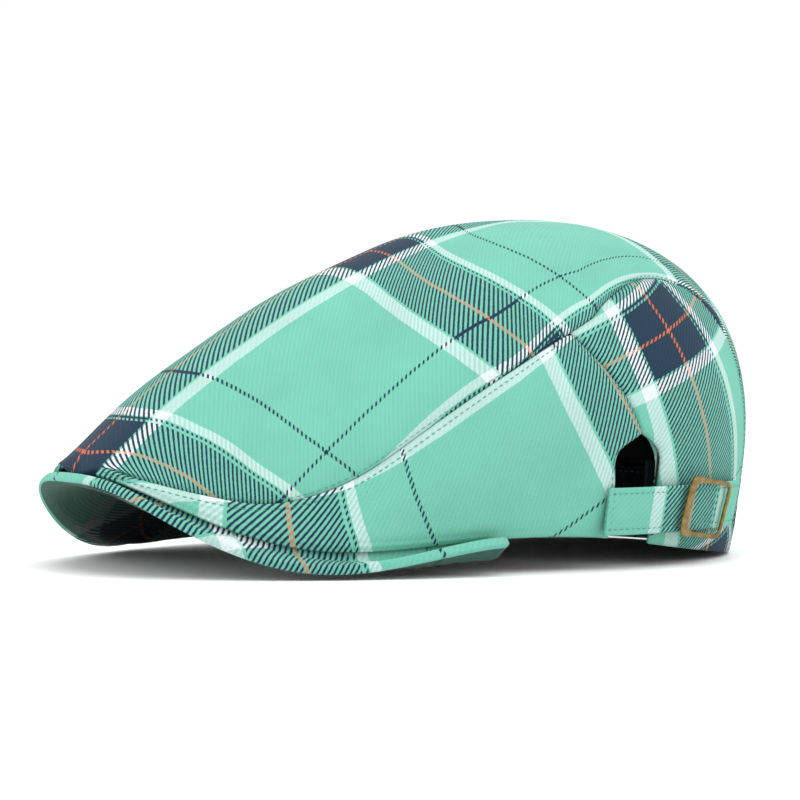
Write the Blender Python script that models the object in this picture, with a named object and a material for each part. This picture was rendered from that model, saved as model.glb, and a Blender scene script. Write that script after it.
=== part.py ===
"""Flat duckbill cap in plaid twill: crown panels, linings, brim layers, side adjuster.

Metres, +Z up. The cap rests on the brim's two side tips and on the rear hem.
Front (brim) towards -Y, the wearer's left towards +X.
"""
import bpy
import numpy as np

# ---- driving dimensions (metres, degrees) ----------------------------------
HEM_HALF_WIDTH = 0.084       # half width of the crown at its lower edge
HEM_BACK = 0.112             # hem centre to the centre back
HEM_FRONT = 0.172            # hem centre to the front fold over the brim
HEM_CENTRE_Y = 0.0294
CROWN_POLE_Y = 0.0564        # highest point of the crown
CROWN_TOP = 0.128
BACK_SQUARE = 2.19           # superellipse powers of the plan outline
FRONT_SQUARE = 2.20
SIDE_SWEEP = 113.0           # how far each profile turns from top to hem
BACK_SWEEP = 106.3
FRONT_SWEEP = 8.0
FRONT_FALL = 0.918
BACK_FULLNESS = 0.556
HEM_STATIONS = (0.0, 25.0, 50.0, 75.0, 100.0, 130.0, 180.0)   # degrees from the front
HEM_HEIGHTS = (0.0376, 0.0287, 0.0106, 0.0118, 0.0085, 0.0022, 0.0004)

CLOTH = 0.0014               # thickness of the outer panels
LINING = 0.0008
GAP = 0.0003                 # clearance between neighbouring pieces
SEAM_HALF_GAP = 0.0034       # half the gap at a seam, in disc units

BRIM_HALF_WIDTH = 0.0887
BRIM_FRONT_Y = -0.1446
BRIM_SQUARE = 2.0
BRIM_REAR_Y = -0.0161
BRIM_STATIONS = (0.0, 0.2, 0.4, 0.6, 0.8, 1.0)   # share of the way from front to rear end
BRIM_HEIGHTS = (0.0362, 0.0325, 0.0167, 0.0048, 0.0092, 0.0165)
BRIM_COVER = 0.0011
BRIM_BOARD = 0.0019
BRIM_DROP = 0.0030           # how far the brim's upper face passes below the crown's edge
BRIM_INNER_CLEAR = 0.0065
BRIM_SPREAD = 74.0           # plan angle from the front to the brim's rear ends, at the seam
OPENING_HALF_WIDTH = 0.0785  # head opening
OPENING_FRONT = 0.1050
OPENING_BACK = 0.1080
OPENING_SPREAD = 66.0

BAND_HEIGHT = 0.0280
BAND_THICKNESS = 0.0010
BAND_LEAN = 0.0015
BAND_STATIONS = (0.0, 40.0, 70.0, 100.0, 130.0, 180.0)
BAND_HEIGHTS = (0.0365, 0.0290, 0.0150, 0.0115, 0.0055, 0.0015)
LINING_SCALE = 0.965         # the lining's outline beside the outer cloth's
LINING_GAP = 0.0006
FOLD_BOW = 2.0               # how much the front fold bulges towards the brim's edge
FLOOR_SNAP = 0.0012

KEYHOLE_FRONT = 2.0          # degrees behind the left side
KEYHOLE_REAR = 12.5
KEYHOLE_TOP = 0.780          # share of the way from crown top to hem
PLAIN_SPLIT = 8.5            # the same seam on the right side, without a keyhole
FACING_WIDTH = 0.042

STRAP_TOP_Z = 0.0300
STRAP_WIDTH = 0.0175
STRAP_THICKNESS = 0.0016
STRAP_LEAN = 0.20            # outward per unit of height, as the crown's wall leans there
STRAP_TOUCHES = (5.0, 25.0, 46.0)
STRAP_OUT = 0.0022
STRAP_FROM = -3.0            # degrees round the strap's own axis
STRAP_TO = 31.5
BUCKLE_ANGLE = 19.0
BUCKLE_WIDTH = 0.0280
BUCKLE_HEIGHT = 0.0222
LEFT_BAR = 0.0036
RIGHT_BAR = 0.0017
END_BAR = 0.0018
MID_BAR = 0.0016
BAR_THICK = 0.0008
FRAME_THICK = 0.0011
BAR_CLEAR = 0.0005
FRAME_CLEAR = 0.0007

# disc coordinates (sideways, lengthwise) of the seam between top and side panels
TOP_SEAM = ((0.150, -0.975), (0.300, -0.940), (0.500, -0.830), (0.640, -0.684),
            (0.703, -0.500), (0.690, -0.340), (0.620, -0.160), (0.530, -0.040),
            (0.440, 0.050), (0.370, 0.150), (0.360, 0.270), (0.430, 0.400),
            (0.520, 0.530), (0.600, 0.660), (0.660, 0.751))
SIDE_SPLIT = 8               # seam point where the rear quarter seam begins
SIDE_STEPS = 27
REAR_STEPS = 15
TOP_COLUMNS = 19
QUARTER_SEAM = ((0.530, -0.040), (0.607, 0.000), (0.690, 0.060), (0.764, 0.106))


def spline(knots, values, at):
    """Natural cubic through the knots, level at both ends."""
    x = np.asarray(knots, float)
    y = np.asarray(values, float)
    n = len(x)
    h = np.diff(x)
    a = np.zeros((n, n))
    b = np.zeros(n)
    a[0, :2] = 2 * h[0], h[0]
    b[0] = 6 * (y[1] - y[0]) / h[0]
    a[-1, -2:] = h[-1], 2 * h[-1]
    b[-1] = -6 * (y[-1] - y[-2]) / h[-1]
    for i in range(1, n - 1):
        a[i, i - 1:i + 2] = h[i - 1], 2 * (h[i - 1] + h[i]), h[i]
        b[i] = 6 * ((y[i + 1] - y[i]) / h[i] - (y[i] - y[i - 1]) / h[i - 1])
    m = np.linalg.solve(a, b)
    at = np.clip(np.asarray(at, float), x[0], x[-1])
    i = np.clip(np.searchsorted(x, at, side="right") - 1, 0, n - 2)
    p = x[i + 1] - at
    q = at - x[i]
    return (m[i] * p**3 + m[i + 1] * q**3) / (6 * h[i]) + (y[i] / h[i] - m[i] * h[i] / 6) * p \
        + (y[i + 1] / h[i] - m[i + 1] * h[i] / 6) * q


def rim(theta):
    """Lower edge of the crown at plan angle theta, from +X towards +Y."""
    c = np.cos(theta)
    s = np.sin(theta)
    reach = np.where(s > 0, HEM_BACK, HEM_FRONT)
    power = np.where(s > 0, BACK_SQUARE, FRONT_SQUARE)
    k = (np.abs(c)**power + np.abs(s)**power)**(-1 / power)
    turn = np.degrees(np.abs((theta + np.pi / 2 + np.pi) % (2 * np.pi) - np.pi))
    z = spline(HEM_STATIONS, HEM_HEIGHTS, turn)
    return HEM_HALF_WIDTH * k * c, HEM_CENTRE_Y + reach * k * s, z


def dome(rho, theta):
    """Outer surface of the crown: rho 0 at the top, 1 at the lower edge."""
    x, y, z = rim(theta)
    s = np.sin(theta)
    side = np.cos(theta)**2
    sweep = np.where(s > 0, BACK_SWEEP, FRONT_SWEEP) * (1 - side) + SIDE_SWEEP * side
    sweep = np.radians(sweep)
    out = np.sin(rho * sweep) / np.sin(sweep)
    up = (np.cos(rho * sweep) - np.cos(sweep)) / (1 - np.cos(sweep))
    up = np.clip(up, 0, 1)
    front = np.clip(-s, 0, 1)**2
    back = np.clip(s, 0, 1)
    up = up * (1 - front) + front * (1 - (1 - up)**FRONT_FALL)
    up = up**(1 + (BACK_FULLNESS - 1) * back)
    return np.stack([x * out, CROWN_POLE_Y + (y - CROWN_POLE_Y) * out, z + (CROWN_TOP - z) * up], -1)


def crown(x, y, lift):
    """Crown surface over the disc point (x, y), moved out by lift along its normal."""
    def at(u, v):
        return dome(np.hypot(u, v), np.arctan2(v, u))
    e = 1e-4
    normal = np.cross(at(x + e, y) - at(x - e, y), at(x, y + e) - at(x, y - e))
    normal /= np.linalg.norm(normal, axis=-1, keepdims=True)
    return at(x, y) + normal * lift


def curve(points, count):
    """count points evenly along a smooth curve through the given ones."""
    p = np.asarray(points, float)
    d = np.concatenate([[0], np.cumsum(np.linalg.norm(np.diff(p, axis=0), axis=1))])
    fine = np.linspace(0, d[-1], 600)
    q = np.stack([natural(d, p[:, k], fine) for k in range(2)], -1)
    run = np.concatenate([[0], np.cumsum(np.linalg.norm(np.diff(q, axis=0), axis=1))])
    at = np.linspace(0, run[-1], count)
    return np.stack([np.interp(at, run, q[:, k]) for k in range(2)], -1)


def natural(knots, values, at):
    """Smooth curve through the knots by Catmull-Rom slopes."""
    slope = np.gradient(values, knots)
    i = np.clip(np.searchsorted(knots, at, side="right") - 1, 0, len(knots) - 2)
    h = knots[i + 1] - knots[i]
    t = (at - knots[i]) / h
    return ((2 * t**3 - 3 * t**2 + 1) * values[i] + (t**3 - 2 * t**2 + t) * h * slope[i]
            + (3 * t**2 - 2 * t**3) * values[i + 1] + (t**3 - t**2) * h * slope[i + 1])


def material(name, colour, rough, metal=0.0):
    made = bpy.data.materials.new(name)
    made.use_nodes = True
    shader = made.node_tree.nodes["Principled BSDF"]
    shader.inputs["Base Color"].default_value = (*colour, 1.0)
    shader.inputs["Roughness"].default_value = rough
    shader.inputs["Metallic"].default_value = metal
    return made


def piece(name, verts, faces, look):
    mesh = bpy.data.meshes.new(name)
    mesh.from_pydata([tuple(v) for v in verts], [], faces)
    mesh.validate()
    mesh.materials.append(material(f"{name}_mat", *look))
    made = bpy.data.objects.new(name, mesh)
    bpy.context.collection.objects.link(made)
    return made


def slab(name, outer, inner, look):
    """Closed body between two grids of the same size; outer's normals point out."""
    n, m = outer.shape[:2]
    verts = np.concatenate([outer.reshape(-1, 3), inner.reshape(-1, 3)])
    base = n * m

    def at(i, j, layer=0):
        return i * m + j + layer * base
    faces = []
    for i in range(n - 1):
        for j in range(m - 1):
            faces.append((at(i, j), at(i + 1, j), at(i + 1, j + 1), at(i, j + 1)))
            faces.append((at(i, j, 1), at(i, j + 1, 1), at(i + 1, j + 1, 1), at(i + 1, j, 1)))
    for i in range(n - 1):
        faces.append((at(i, 0), at(i, 0, 1), at(i + 1, 0, 1), at(i + 1, 0)))
        faces.append((at(i, m - 1), at(i + 1, m - 1), at(i + 1, m - 1, 1), at(i, m - 1, 1)))
    for j in range(m - 1):
        faces.append((at(0, j), at(0, j + 1), at(0, j + 1, 1), at(0, j, 1)))
        faces.append((at(n - 1, j), at(n - 1, j, 1), at(n - 1, j + 1, 1), at(n - 1, j + 1)))
    q = verts[np.array(faces)]
    volume = (q[:, 0] * np.cross(q[:, 1], q[:, 2]) + q[:, 0] * np.cross(q[:, 2], q[:, 3])).sum()
    if volume < 0:
        faces = [f[::-1] for f in faces]
    return piece(name, verts, faces, look)


def blocks(name, cuts, filled, place, look):
    """Closed body of the filled cells of a box grid, its corners set by place."""
    used = {}
    verts = []
    faces = []

    def corner(*key):
        if key not in used:
            used[key] = len(verts)
            verts.append(place(*(cuts[k][key[k]] for k in range(3))))
        return used[key]
    for cell in sorted(filled):
        for axis in range(3):
            for side in (0, 1):
                near = list(cell)
                near[axis] += 2 * side - 1
                if tuple(near) in filled:
                    continue
                u, v = (axis + 1) % 3, (axis + 2) % 3
                ring = []
                for du, dv in ((0, 0), (1, 0), (1, 1), (0, 1)):
                    key = list(cell)
                    key[axis] += side
                    key[u] += du
                    key[v] += dv
                    ring.append(corner(*key))
                faces.append(tuple(ring if side else ring[::-1]))
    return piece(name, verts, faces, look)


# ---- panel outlines in disc coordinates ------------------------------------
def shift(points, by):
    """Run of disc points moved sideways by that much, to the right of its direction."""
    along = np.gradient(points, axis=0)
    along /= np.linalg.norm(along, axis=1, keepdims=True)
    return points + np.stack([along[:, 1], -along[:, 0]], -1) * by


def top_seam():
    """The seam's front part down to the quarter seam, and its rear part to the hem."""
    whole = curve(TOP_SEAM, 900)
    cut = np.linalg.norm(whole - TOP_SEAM[SIDE_SPLIT - 1], axis=1).argmin()
    return curve(whole[:cut + 1:6], SIDE_STEPS), curve(whole[cut::6], REAR_STEPS)


def unit(v):
    return v / np.linalg.norm(v)


def spoke(degrees, rhos):
    a = np.radians(degrees)
    return np.outer(rhos, [np.cos(a), np.sin(a)])


def below(upper, early, late):
    """Lower edge under the upper one, its two ends turned by early and late degrees."""
    run = np.linspace(0, 1, len(upper))
    a = np.arctan2(upper[:, 1], upper[:, 0]) + np.radians(early) * (1 - run)**2 + np.radians(late) * run**4
    return np.stack([np.cos(a), np.sin(a)], -1)


def angle_of(p):
    return np.degrees(np.arctan2(p[1], p[0]))


def top_grid(trim):
    """Top panel: from the front fold over the crown and down to the rear hem."""
    front, rear = top_seam()
    edge = shift(np.concatenate([front, rear[1:]]), -trim)
    edge[-1] = unit(edge[-1])
    columns = np.linspace(-1, 1, TOP_COLUMNS)
    x = edge[:, :1] * columns
    y = np.repeat(edge[:, 1:], TOP_COLUMNS, axis=1)
    run = np.linspace(-1, 1, len(edge))[:, None]
    bow = np.sqrt(1 - x**2) - np.sqrt(1 - edge[:, :1]**2)
    return x, y - np.clip(-run, 0, 1)**5 * bow * FOLD_BOW + np.clip(run, 0, 1)**5 * bow


def patch(upper, lower, first, last):
    """Coons grid between four runs of disc points."""
    u = np.linspace(0, 1, len(upper))[:, None, None]
    v = np.linspace(0, 1, len(first))[None, :, None]
    grid = (upper[:, None] * (1 - v) + lower[:, None] * v + first[None] * (1 - u) + last[None] * u
            - upper[0] * (1 - u) * (1 - v) - lower[0] * (1 - u) * v
            - upper[-1] * u * (1 - v) - lower[-1] * u * v)
    return grid[..., 0], grid[..., 1]


def split_edge(trim, keyhole, top):
    """Quarter seam from the top seam down, then one side of the keyhole, to the hem."""
    quarter = curve(QUARTER_SEAM, 8)
    tail = spoke(keyhole, (top, 0.88, 1.0))
    tail = curve(np.concatenate([quarter[-1:], tail]), 8)
    return shift(np.concatenate([quarter, tail[1:]]), trim)


def side_grid(trim, split):
    """Side panel: under the top seam from the front to the rear quarter seam."""
    upper = shift(top_seam()[0], trim)
    rear = split_edge(trim, split, KEYHOLE_TOP + 0.035)
    upper[-1] += unit(upper[-2] - upper[-1]) * trim
    rear[0] = upper[-1]
    lower = below(upper, 0.0, angle_of(rear[-1]) - angle_of(upper[-1]))
    u = np.linspace(0, 1, len(upper))[:, None, None]
    v = np.linspace(0, 1, len(rear))[None, :, None]
    bend = rear[None] - rear[0] * (1 - v) - rear[-1] * v
    grid = upper[:, None] * (1 - v) + lower[:, None] * v + bend * u**5
    return grid[..., 0], grid[..., 1]


def back_grid(trim, split):
    """Rear quarter panel: behind the quarter seam and the keyhole, to the top panel."""
    upper = shift(top_seam()[1], trim)
    front = split_edge(-trim, split, KEYHOLE_TOP + 0.045)
    upper[0] += unit(upper[1] - upper[0]) * trim
    front[0] = upper[0]
    lower = below(upper, angle_of(front[-1]) - angle_of(upper[0]), 0.0)
    rear = np.linspace(upper[-1], lower[-1], len(front))
    return patch(upper, lower, front, rear)


MINT = ((0.21, 0.64, 0.47), 0.85)
LINER = ((0.03, 0.05, 0.05), 0.80)
LABEL = ((0.75, 0.75, 0.72), 0.60)
BOARD = ((0.55, 0.55, 0.52), 0.60)
BRASS = ((0.33, 0.22, 0.07), 0.40, 1.0)


def rest(points):
    """Points within a millimetre of the ground laid flat on it."""
    points[..., 2] = np.where(points[..., 2] < FLOOR_SNAP, 0.0, points[..., 2])
    return points


def crown_piece(name, grid, mirrored, scale, high, deep, look):
    x, y = np.array(grid) * scale
    if mirrored:
        x = -x
    slab(name, rest(crown(x, y, high)), rest(crown(x, y, -deep)), look)


def build_crown():
    """Outer cloth and lining in the same five panels."""
    layers = (("panel", 1.0, 0.0, CLOTH, MINT),
              ("lining", LINING_SCALE, -CLOTH - LINING_GAP, CLOTH + LINING_GAP + LINING, LINER))
    trim = SEAM_HALF_GAP
    for kind, scale, high, deep, look in layers:
        top = "top_panel" if kind == "panel" else "lining_top"
        crown_piece(top, top_grid(trim), False, scale, high, deep, look)
        for side, mirrored in (("left", False), ("right", True)):
            splits = (PLAIN_SPLIT, PLAIN_SPLIT) if mirrored else (KEYHOLE_FRONT, KEYHOLE_REAR)
            front = f"side_panel_{side}" if kind == "panel" else f"lining_side_{side}"
            rear = f"back_panel_{side}" if kind == "panel" else f"lining_back_{side}"
            crown_piece(front, side_grid(trim, splits[0]), mirrored, scale, high, deep, look)
            crown_piece(rear, back_grid(trim, splits[1]), mirrored, scale, high, deep, look)


# ---- head opening, sweatband, brim -----------------------------------------
def oval(phi, out):
    """Head opening at plan angle phi, moved outwards by out."""
    c = np.cos(phi)
    s = np.sin(phi)
    x = (OPENING_HALF_WIDTH + out) * c
    return x, HEM_CENTRE_Y + (np.where(s > 0, OPENING_BACK, OPENING_FRONT) + out) * s


def band_foot(phi):
    turn = np.degrees(np.abs((phi + np.pi / 2 + np.pi) % (2 * np.pi) - np.pi))
    return spline(BAND_STATIONS, BAND_HEIGHTS, turn)


def band_grid(first, last, count, low, high, out):
    """Upright strip along the head opening from angle first to last."""
    phi = np.radians(np.linspace(first, last, count))[:, None]
    rise = np.linspace(low, high, 5)[None, :]
    x, y = oval(phi, out + BAND_LEAN * rise / BAND_HEIGHT)
    z = band_foot(phi) + rise
    return np.stack(np.broadcast_arrays(x, y, z), -1)


def build_band():
    first, last = KEYHOLE_REAR + 2.0, 360.0 + KEYHOLE_FRONT - 1.0
    slab("sweatband", band_grid(first, last, 97, 0.0, BAND_HEIGHT, 0.0),
         band_grid(first, last, 97, 0.0, BAND_HEIGHT, -BAND_THICKNESS), LINER)
    slab("care_label", band_grid(97.0, 109.0, 7, 0.005, 0.021, -BAND_THICKNESS - GAP),
         band_grid(97.0, 109.0, 7, 0.005, 0.021, -BAND_THICKNESS - GAP - 0.0004), LABEL)


def brim_surface(rows, columns):
    """Upper face of the brim: straight from outer edge to crown seam, then to the opening."""
    t = np.linspace(-1, 1, columns)
    s = np.abs(t)
    side = np.sign(t)
    a = s * np.pi / 2
    k = (np.sin(a)**BRIM_SQUARE + np.cos(a)**BRIM_SQUARE)**(-1 / BRIM_SQUARE)
    edge = np.stack([side * BRIM_HALF_WIDTH * k * np.sin(a),
                     BRIM_REAR_Y - (BRIM_REAR_Y - BRIM_FRONT_Y) * k * np.cos(a),
                     spline(BRIM_STATIONS, BRIM_HEIGHTS, s)], -1)
    x, y, z = rim(np.radians(-90 + s * BRIM_SPREAD))
    seam = np.stack([side * (x - 0.0006), y + 0.0006, z - BRIM_DROP], -1)
    phi = np.radians(-90 + s * OPENING_SPREAD)
    x, y = oval(phi, BRIM_INNER_CLEAR)
    inner = np.stack([side * x, y, band_foot(phi) + 0.0045], -1)
    q = np.linspace(0, 1, rows // 3)[:, None, None]
    near = edge + (seam - edge) * q
    q = np.linspace(0, 1, rows - rows // 3 + 1)[1:, None, None]
    return np.concatenate([near, seam + (inner - seam) * q])


def sink(surface, depth):
    """Surface moved down along its own normals by depth."""
    normal = np.cross(np.gradient(surface, axis=1), np.gradient(surface, axis=0))
    normal /= np.linalg.norm(normal, axis=-1, keepdims=True)
    normal *= np.sign(normal[len(surface) // 2, surface.shape[1] // 2, 2])
    return surface - normal * depth


def build_brim():
    full = brim_surface(12, 45)
    board = BRIM_COVER + GAP
    under = board + BRIM_BOARD + GAP
    slab("brim_top_cover", rest(full), rest(sink(full, BRIM_COVER)), MINT)
    slab("brim_board", sink(full, board)[1:], sink(full, board + BRIM_BOARD)[1:], BOARD)
    slab("brim_under_cover", rest(sink(full, under)), rest(sink(full, under + BRIM_COVER)), MINT)


# ---- keyhole, strap and buckle ---------------------------------------------
def build_facing():
    """Binding folded inside round the keyhole."""
    path = np.concatenate([spoke(KEYHOLE_FRONT, (0.97, 0.90, 0.83)), [QUARTER_SEAM[-1]],
                           spoke(KEYHOLE_REAR, (0.84, 0.90, 0.97))])
    path = curve(path, 29)
    rows = np.stack([shift(path, -by) for by in np.linspace(0.004, FACING_WIDTH, 4)], 1)
    deep = CLOTH + LINING_GAP + LINING + 2 * GAP
    slab("keyhole_facing", crown(rows[..., 0], rows[..., 1], -deep),
         crown(rows[..., 0], rows[..., 1], -deep - 0.0006), MINT)


def wall_point(degrees, height):
    """Plan position of the crown at a plan angle and a height near the hem."""
    rho = np.linspace(0.72, 1.0, 400)
    p = crown(rho * np.cos(np.radians(degrees)), rho * np.sin(np.radians(degrees)), 0.0)
    i = np.abs(p[:, 2] - height).argmin()
    return p[i, :2]


def strap_circle():
    """Circle in plan through three points of the crown at the strap's middle height."""
    a, b, c = (wall_point(d, STRAP_TOP_Z - STRAP_WIDTH / 2) for d in STRAP_TOUCHES)
    m = 2 * np.array([b - a, c - a])
    centre = np.linalg.solve(m, [b @ b - a @ a, c @ c - a @ a])
    return centre, np.linalg.norm(a - centre)


def strap_point(angle, rise, out):
    """Point beside the crown at an angle round the strap's axis, rise above its middle."""
    centre, radius = strap_circle()
    reach = radius + out + STRAP_LEAN * rise
    return np.array([centre[0] + reach * np.cos(angle), centre[1] + reach * np.sin(angle),
                     STRAP_TOP_Z - STRAP_WIDTH / 2 + rise])


def build_strap():
    centre, radius = strap_circle()
    angle = np.radians(np.linspace(STRAP_FROM, STRAP_TO, 37))[:, None]
    rise = np.linspace(-0.5, 0.5, 5)[None, :] * STRAP_WIDTH
    faces = []
    for out in (STRAP_OUT + STRAP_THICKNESS, STRAP_OUT):
        reach = radius + out + STRAP_LEAN * rise
        faces.append(np.stack(np.broadcast_arrays(
            centre[0] + reach * np.cos(angle), centre[1] + reach * np.sin(angle),
            STRAP_TOP_Z - STRAP_WIDTH / 2 + rise), -1))
    slab("adjuster_strap", faces[0], faces[1], MINT)


def build_buckle():
    """Slider buckle: front frame outside the strap, middle bar behind it."""
    angle = np.radians(BUCKLE_ANGLE)
    centre, radius = strap_circle()
    out = np.array([np.cos(angle), np.sin(angle), 0.0])
    along = np.array([-np.sin(angle), np.cos(angle), 0.0])
    up = np.array([0.0, 0.0, 1.0]) + out * STRAP_LEAN
    up /= np.linalg.norm(up)
    away = np.cross(along, up)
    middle = strap_point(angle, 0.0, STRAP_OUT + STRAP_THICKNESS / 2)
    w = BUCKLE_WIDTH / 2
    h = BUCKLE_HEIGHT / 2
    back = -STRAP_THICKNESS / 2 - BAR_CLEAR - BAR_THICK
    front = STRAP_THICKNESS / 2 + FRAME_CLEAR
    cuts = ((-w, -w + LEFT_BAR, -MID_BAR / 2, MID_BAR / 2, w - RIGHT_BAR, w),
            (-h, -h + END_BAR, h - END_BAR, h),
            (back, back + BAR_THICK, front, front + FRAME_THICK))
    ring = {(i, j, 2) for i in range(5) for j in range(3) if i in (0, 4) or j in (0, 2)}
    legs = {(2, j, k) for j in (0, 2) for k in (0, 1)}
    made = blocks("buckle_frame", cuts, ring | legs | {(2, 1, 0)},
                  lambda u, v, t: middle + along * u + up * v + away * t, BRASS)
    hub = np.array([centre[0], centre[1], middle[2]])
    for vertex in made.data.vertices:
        vertex.co = [vertex.co[k] - hub[k] for k in range(3)]
    made.location = hub


def clear_scene():
    for old in list(bpy.data.objects):
        bpy.data.objects.remove(old, do_unlink=True)


clear_scene()
build_crown()
build_band()
build_brim()
build_facing()
build_strap()
build_buckle()
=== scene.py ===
"""Looks of a flat duckbill cap in mint, navy and white plaid twill.

Metres, +Z up, brim towards -Y, the wearer's left towards +X. Every cloth piece is a grid of
points computed from the cap's dimensions, given a thickness and a lay of the plaid.
"""
from functools import partial

import bpy
import numpy as np
from mathutils import Matrix, Vector


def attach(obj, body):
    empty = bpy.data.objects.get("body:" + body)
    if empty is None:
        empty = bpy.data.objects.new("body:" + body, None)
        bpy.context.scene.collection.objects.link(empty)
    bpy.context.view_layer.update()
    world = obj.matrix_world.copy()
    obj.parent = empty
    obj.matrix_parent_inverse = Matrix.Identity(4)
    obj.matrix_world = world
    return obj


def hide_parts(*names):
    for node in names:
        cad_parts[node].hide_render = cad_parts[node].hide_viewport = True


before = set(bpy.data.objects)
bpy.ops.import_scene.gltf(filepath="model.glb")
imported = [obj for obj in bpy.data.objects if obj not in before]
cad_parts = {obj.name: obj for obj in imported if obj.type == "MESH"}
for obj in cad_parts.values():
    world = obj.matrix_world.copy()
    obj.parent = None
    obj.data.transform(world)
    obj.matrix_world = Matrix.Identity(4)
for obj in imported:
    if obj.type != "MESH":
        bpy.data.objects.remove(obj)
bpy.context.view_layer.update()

# ---- driving dimensions (metres, degrees) ----------------------------------
HEM_HALF_WIDTH = 0.084       # half width of the crown at its lower edge
HEM_BACK = 0.112             # hem centre to the centre back
HEM_FRONT = 0.172            # hem centre to the front fold over the brim
HEM_CENTRE_Y = 0.0294
CROWN_POLE_Y = 0.0564        # highest point of the crown
CROWN_TOP = 0.128
BACK_SQUARE = 2.19           # superellipse powers of the plan outline
FRONT_SQUARE = 2.20
SIDE_SWEEP = 113.0           # how far each profile turns from top to hem
BACK_SWEEP = 106.3
FRONT_SWEEP = 8.0
FRONT_FALL = 0.918
BACK_FULLNESS = 0.556
HEM_STATIONS = (0.0, 25.0, 50.0, 75.0, 100.0, 130.0, 180.0)   # degrees from the front
HEM_HEIGHTS = (0.0376, 0.0287, 0.0106, 0.0118, 0.0085, 0.0022, 0.0004)

CLOTH = 0.0014               # thickness of the outer panels
LINING = 0.0008
GAP = 0.0003                 # clearance between neighbouring pieces
SEAM_HALF_GAP = 0.0006       # half the gap at a finished seam, in disc units
LINING_HALF_GAP = 0.0030
CLOTH_PRESSED = 0.72         # share of its thickness the outer cloth keeps when stretched
PEAK_CLOTH = 0.0007          # cloth of the peak, stretched over its board
PEAK_SLACK = 0.0001          # room between the peak's board and its cloth

BRIM_HALF_WIDTH = 0.0887
BRIM_FRONT_Y = -0.1446
BRIM_SQUARE = 2.0
BRIM_REAR_Y = -0.0161
BRIM_STATIONS = (0.0, 0.2, 0.4, 0.6, 0.8, 1.0)   # share of the way from front to rear end
BRIM_HEIGHTS = (0.0362, 0.0325, 0.0167, 0.0048, 0.0092, 0.0165)
BRIM_COVER = 0.0011
BRIM_BOARD = 0.0019
BRIM_DROP = 0.0030           # how far the brim's upper face passes below the crown's edge
BRIM_INNER_CLEAR = 0.0065
BRIM_SPREAD = 74.0           # plan angle from the front to the brim's rear ends, at the seam
OPENING_HALF_WIDTH = 0.0785  # head opening
OPENING_FRONT = 0.1050
OPENING_BACK = 0.1080
OPENING_SPREAD = 66.0

BAND_HEIGHT = 0.0280
BAND_THICKNESS = 0.0010
BAND_LEAN = 0.0015
BAND_STATIONS = (0.0, 40.0, 70.0, 100.0, 130.0, 180.0)
BAND_HEIGHTS = (0.0365, 0.0290, 0.0150, 0.0115, 0.0055, 0.0015)
LINING_SCALE = 0.965         # the lining's outline beside the outer cloth's
LINING_GAP = 0.0006
FOLD_BOW = 2.0               # how much the front fold bulges towards the brim's edge

KEYHOLE_FRONT = 2.0          # degrees behind the left side
KEYHOLE_REAR = 12.5
KEYHOLE_TOP = 0.780          # share of the way from crown top to hem
PLAIN_SPLIT = 8.5            # the same seam on the right side, without a keyhole
FACING_WIDTH = 0.042

STRAP_TOP_Z = 0.0300
STRAP_WIDTH = 0.0175
STRAP_THICKNESS = 0.0016
STRAP_LEAN = 0.20            # outward per unit of height, as the crown's wall leans there
STRAP_TOUCHES = (5.0, 25.0, 46.0)
STRAP_OUT = 0.0022
STRAP_FROM = -3.0            # degrees round the strap's own axis
STRAP_TO = 31.5
BUCKLE_ANGLE = 19.0
BUCKLE_WIDTH = 0.0280
BUCKLE_HEIGHT = 0.0222
LEFT_BAR = 0.0036
RIGHT_BAR = 0.0017
END_BAR = 0.0018
MID_BAR = 0.0016
BAR_THICK = 0.0008
FRAME_THICK = 0.0011
BAR_CLEAR = 0.0005
FRAME_CLEAR = 0.0007

SETT = 128.0                 # one repeat of the plaid, mm
TWILL = 2.4                  # twill rib to rib, along the yarns, mm

# disc coordinates (sideways, lengthwise) of the seam between top and side panels
TOP_SEAM = ((0.150, -0.975), (0.300, -0.940), (0.500, -0.830), (0.640, -0.684),
            (0.703, -0.500), (0.690, -0.340), (0.620, -0.160), (0.530, -0.040),
            (0.440, 0.050), (0.370, 0.150), (0.360, 0.270), (0.430, 0.400),
            (0.520, 0.530), (0.600, 0.660), (0.660, 0.751))
SIDE_SPLIT = 8               # seam point where the rear quarter seam begins
SIDE_STEPS = 150
REAR_STEPS = 90
DOWN_STEPS = 45
TOP_COLUMNS = 161
QUARTER_SEAM = ((0.530, -0.040), (0.607, 0.000), (0.690, 0.060), (0.764, 0.106))


def spline(knots, values, at):
    """Natural cubic through the knots, level at both ends."""
    x = np.asarray(knots, float)
    y = np.asarray(values, float)
    n = len(x)
    h = np.diff(x)
    a = np.zeros((n, n))
    b = np.zeros(n)
    a[0, :2] = 2 * h[0], h[0]
    b[0] = 6 * (y[1] - y[0]) / h[0]
    a[-1, -2:] = h[-1], 2 * h[-1]
    b[-1] = -6 * (y[-1] - y[-2]) / h[-1]
    for i in range(1, n - 1):
        a[i, i - 1:i + 2] = h[i - 1], 2 * (h[i - 1] + h[i]), h[i]
        b[i] = 6 * ((y[i + 1] - y[i]) / h[i] - (y[i] - y[i - 1]) / h[i - 1])
    m = np.linalg.solve(a, b)
    at = np.clip(np.asarray(at, float), x[0], x[-1])
    i = np.clip(np.searchsorted(x, at, side="right") - 1, 0, n - 2)
    p = x[i + 1] - at
    q = at - x[i]
    return (m[i] * p**3 + m[i + 1] * q**3) / (6 * h[i]) + (y[i] / h[i] - m[i] * h[i] / 6) * p \
        + (y[i + 1] / h[i] - m[i + 1] * h[i] / 6) * q


def direction(v):
    """Vectors of length one, the same way, along the last axis."""
    return v / np.linalg.norm(v, axis=-1, keepdims=True)


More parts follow.
